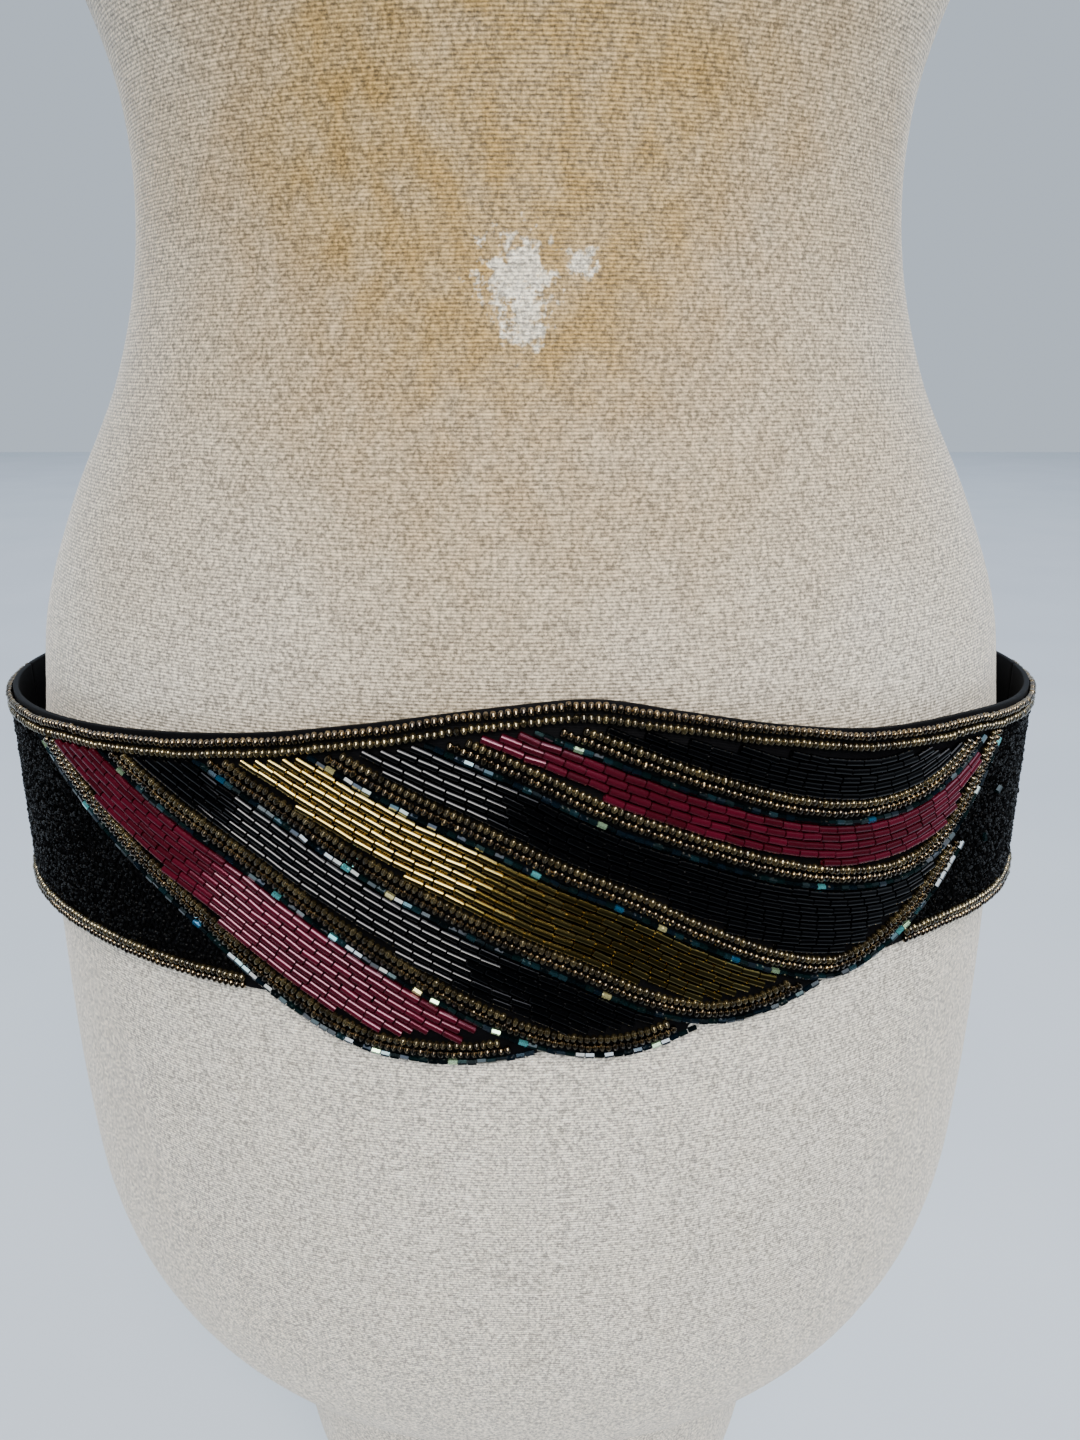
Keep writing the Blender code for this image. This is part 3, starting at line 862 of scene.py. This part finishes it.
for band, (glass, slot) in FIELDS.items():
    following = band_after(band)
    if following:
        guide = following
        first_row = -(TEAL_REACH + BUGLE_WIDTH / 2 - FIRST_ROW_TUCK)
        step = -BUGLE_ROW_PITCH
    else:
        guide = band
        first_row = GOLD_REACH + BUGLE_WIDTH / 2
        step = BUGLE_ROW_PITCH
    room = BUGLE_WIDTH / 2 - BUGLE_SLACK
    rows = []
    for row in range(MOST_ROWS):
        along, height = band_line(guide, first_row + row * step, BUGLE_LEAD)
        rising = np.concatenate([[True], np.diff(along) > 0])
        along, height = along[rising], height[rising]
        own = (height - through(BANDS[band], along)) / slant(BANDS[band], along)
        free = (space_above(band, along, height) > room) & (own > GOLD_REACH + room)
        free &= along < BANDS[band][-1][0] - END_ROOM
        rows += lay_end_to_end(along, height, free)
    along, height, heading = np.transpose(rows)
    count = len(along)
    size = np.stack([np.ones(count), np.ones(count), rng.normal(1, BUGLE_LENGTH_SPREAD, count)], -1)
    sew(
        f"band_{band}_bugle_beads",
        bugle_bead(),
        along,
        height + rng.normal(0, BUGLE_UP_SPREAD, count),
        WALL_FACE + BUGLE_WIDTH / 2 + BUGLE_GAP + rng.normal(0, BUGLE_OUT_SPREAD, count),
        heading + rng.normal(0, BUGLE_TURN_SPREAD, count),
        glass,
        [f"band_{band}_bugles"],
        size,
    )


# Black beads of the sides and back
# Short black glass beads, 2.2 mm long, sewn one by one in all directions until they cover the
# cloth between the borders and up to the bands.
BLACK_WIDTH, BLACK_LENGTH = 1.35, 2.2
BLACK_PITCH, BLACK_ROW_PITCH = 1.95, 1.95 * 0.88
BLACK_GAP = 0.1  # between the cloth's face and a black bead
BORDER_ROOM, TEAL_LINE_ROOM = 0.4, 0.2  # from the field's edge to the top border and a teal row
LOWEST_PLACE, HIGHEST_PLACE = -70.0, 40.0
PLACE_SPREAD = 0.45
BLACK_OUT_SPREAD, BLACK_TURN_SPREAD, BLACK_SIZE_SPREAD = 0.12, 0.6, 0.06

jet_glass = bead_material(
    "jet_black_glass", "020202", "060607", "020202", {"Roughness": 0.35, "Specular IOR Level": 0.08},
)


def scatter(first, last, bottom, top):
    """Places about one pitch apart over a stretch of the belt."""
    columns = np.arange(first, last, BLACK_PITCH)
    along, height = np.meshgrid(columns, np.arange(LOWEST_PLACE, HIGHEST_PLACE, BLACK_ROW_PITCH))
    along[1::2] += BLACK_PITCH / 2
    along, height = along.ravel(), height.ravel()
    along = along + rng.uniform(-PLACE_SPREAD, PLACE_SPREAD, len(along))
    height = height + rng.uniform(-PLACE_SPREAD, PLACE_SPREAD, len(height))
    kept = (height > bottom(along)) & (height < top(along)) & (along > first) & (along < last)
    return along[kept], height[kept]


def swirl(along, height):
    """Headings that turn smoothly from place to place, in irregular whirls a few beads wide."""
    level = np.sin(along / 5.1 + 2.1 * np.sin(height / 4.3))
    upright = np.cos(height / 3.7 + 1.7 * np.sin(along / 6.1))
    return np.pi * (level + upright)


def field_bottom(at):
    return np.where(np.abs(at) < SIDE_SEAM, through(BOTTOM_EDGE, at), BACK_BOTTOM) + BOTTOM_BORDER


def field_top(at):
    border = np.where(np.abs(at) < SIDE_SEAM, front_top(at), BACK_TOP) - TOP_BORDER - BORDER_ROOM
    return np.minimum(border, teal_line(at) - TEAL_LINE_ROOM)


FIELD_STRETCHES = {
    "black_beads_front_right": (-SIDE_SEAM, -20.0),
    "black_beads_front_left": (90.0, SIDE_SEAM),
    "black_beads_back_left": (SIDE_SEAM, beads_end),
    "black_beads_back_right": (beads_start, -SIDE_SEAM),
}
for name, (first, last) in FIELD_STRETCHES.items():
    along, height = scatter(first, last, field_bottom, field_top)
    count = len(along)
    out = WALL_FACE + BLACK_WIDTH / 2 + BLACK_GAP
    sew(
        name,
        seed_bead(BLACK_WIDTH, BLACK_LENGTH, 6, 4),
        along,
        height,
        out + rng.normal(0, BLACK_OUT_SPREAD, count) + overlap_lift(along),
        swirl(along, height) + rng.normal(0, BLACK_TURN_SPREAD, count),
        jet_glass,
        size=rng.normal(1, BLACK_SIZE_SPREAD, (count, 3)),
    )


# Floor, light and camera
# A pale floor and pale surroundings, a wide window high in front and the dimmer sky over it, a lit
# ceiling behind, and the camera where the photographer stood, close to the belt and looking down.
paint, tree, shader = new_material("matt_wall_paint", {"Roughness": 0.9})
place = add_node(tree, "ShaderNodeTexCoord").outputs["Object"]
ROLLER_SIZE = 1 / 3  # metres
FLOOR_REACH = 8.0
roller = add_node(
    tree, "ShaderNodeTexNoise", {"Vector": place, "Scale": 1 / ROLLER_SIZE, "Detail": 4.0}
)
coat = blend(tree, roller.outputs["Fac"], colour("ccd6e0"), colour("dce4ec"))
tree.links.new(coat, shader.inputs["Base Color"])
shape = bmesh.new()
bmesh.ops.create_grid(shape, x_segments=1, y_segments=1, size=FLOOR_REACH)
mesh = bpy.data.meshes.new("floor")
shape.to_mesh(mesh)
shape.free()
mesh.materials.append(paint)
floor = bpy.data.objects.new("floor", mesh)
bpy.context.scene.collection.objects.link(floor)
floor.visible_glossy = False
floor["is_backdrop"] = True

# The room is dark before the form and bright behind it, and evenly pale to the camera.
ROOM_DARK, ROOM_BRIGHT, ROOM_SEEN = 0.04, 1.6, 1.0
world = bpy.data.worlds.new("pale_room")
world.use_nodes = True
bpy.context.scene.world = world
tree = world.node_tree
ways = add_node(tree, "ShaderNodeTexCoord").outputs["Generated"]
parts = add_node(tree, "ShaderNodeSeparateXYZ", {"Vector": ways})
room = remap(tree, parts.outputs["Y"], -0.4, 0.5, ROOM_DARK, ROOM_BRIGHT)
seen = add_node(tree, "ShaderNodeLightPath").outputs["Is Camera Ray"]
strength = add_node(
    tree, "ShaderNodeMix", {"Factor": seen, "A": room, "B": ROOM_SEEN}, data_type="FLOAT"
)
background = tree.nodes["Background"]
background.inputs["Color"].default_value = colour("c3d0de")
tree.links.new(strength.outputs["Result"], background.inputs["Strength"])


def add_window(name, place, aim, edge, width, height, power, tint):
    """A soft light at a place in metres, facing its aim, with its width laid along an edge."""
    lamp = bpy.data.lights.new(name, "AREA")
    lamp.shape = "RECTANGLE"
    lamp.size, lamp.size_y = width, height
    lamp.energy = power
    lamp.color = colour(tint)[:3]
    obj = bpy.data.objects.new(name, lamp)
    back = (place - aim).normalized()
    right = (edge - edge.dot(back) * back).normalized()
    turn = Matrix((right, back.cross(right), back)).transposed()
    obj.matrix_world = Matrix.Translation(place) @ turn.to_4x4()
    bpy.context.scene.collection.objects.link(obj)
    return obj


belt_front = Vector((0.0, -0.12, (BELT_LINE - 20) * MM))
along_bands = Vector((0.85, -0.2, -0.5))
window_place = belt_front + 3.0 * Vector((0.107, -0.759, 0.643))
sky_place = belt_front + 3.1 * Vector((0.2, -0.61, 0.77))
add_window("window", window_place, belt_front, along_bands, 1.72, 1.2, 110.0, "fffaf2")
add_window("sky", sky_place, belt_front, along_bands, 1.75, 5.2, 80.0, "eef2ff")
ceiling_place, under_ceiling = Vector((0.0, 4.2, 3.6)), Vector((0.0, 4.2, 0.0))
wall_line = Vector((1.0, 0.0, 0.0))
ceiling = add_window("ceiling", ceiling_place, under_ceiling, wall_line, 9.0, 7.0, 170.0, "f4f6ff")
ceiling.visible_glossy = False

FOCAL_PIXELS, FRAME_LONG = 1100, 1440
SENSOR_WIDTH = 36.0
CAMERA_TILT = 18.0
CAMERA_ASIDE, CAMERA_BEFORE, CAMERA_ABOVE_BELT = 6.6, 403.0, 114.0
camera = bpy.data.cameras.new("camera")
camera.sensor_width = SENSOR_WIDTH
camera.lens = SENSOR_WIDTH * FOCAL_PIXELS / FRAME_LONG
camera.clip_start = 0.02
eye = bpy.data.objects.new("camera", camera)
camera_height = (BELT_LINE + CAMERA_ABOVE_BELT) * MM
eye.location = (CAMERA_ASIDE * MM, -CAMERA_BEFORE * MM, camera_height)
eye.rotation_euler = (np.radians(90 - CAMERA_TILT), 0.0, 0.0)
bpy.context.scene.collection.objects.link(eye)
bpy.context.scene.camera = eye

low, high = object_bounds()
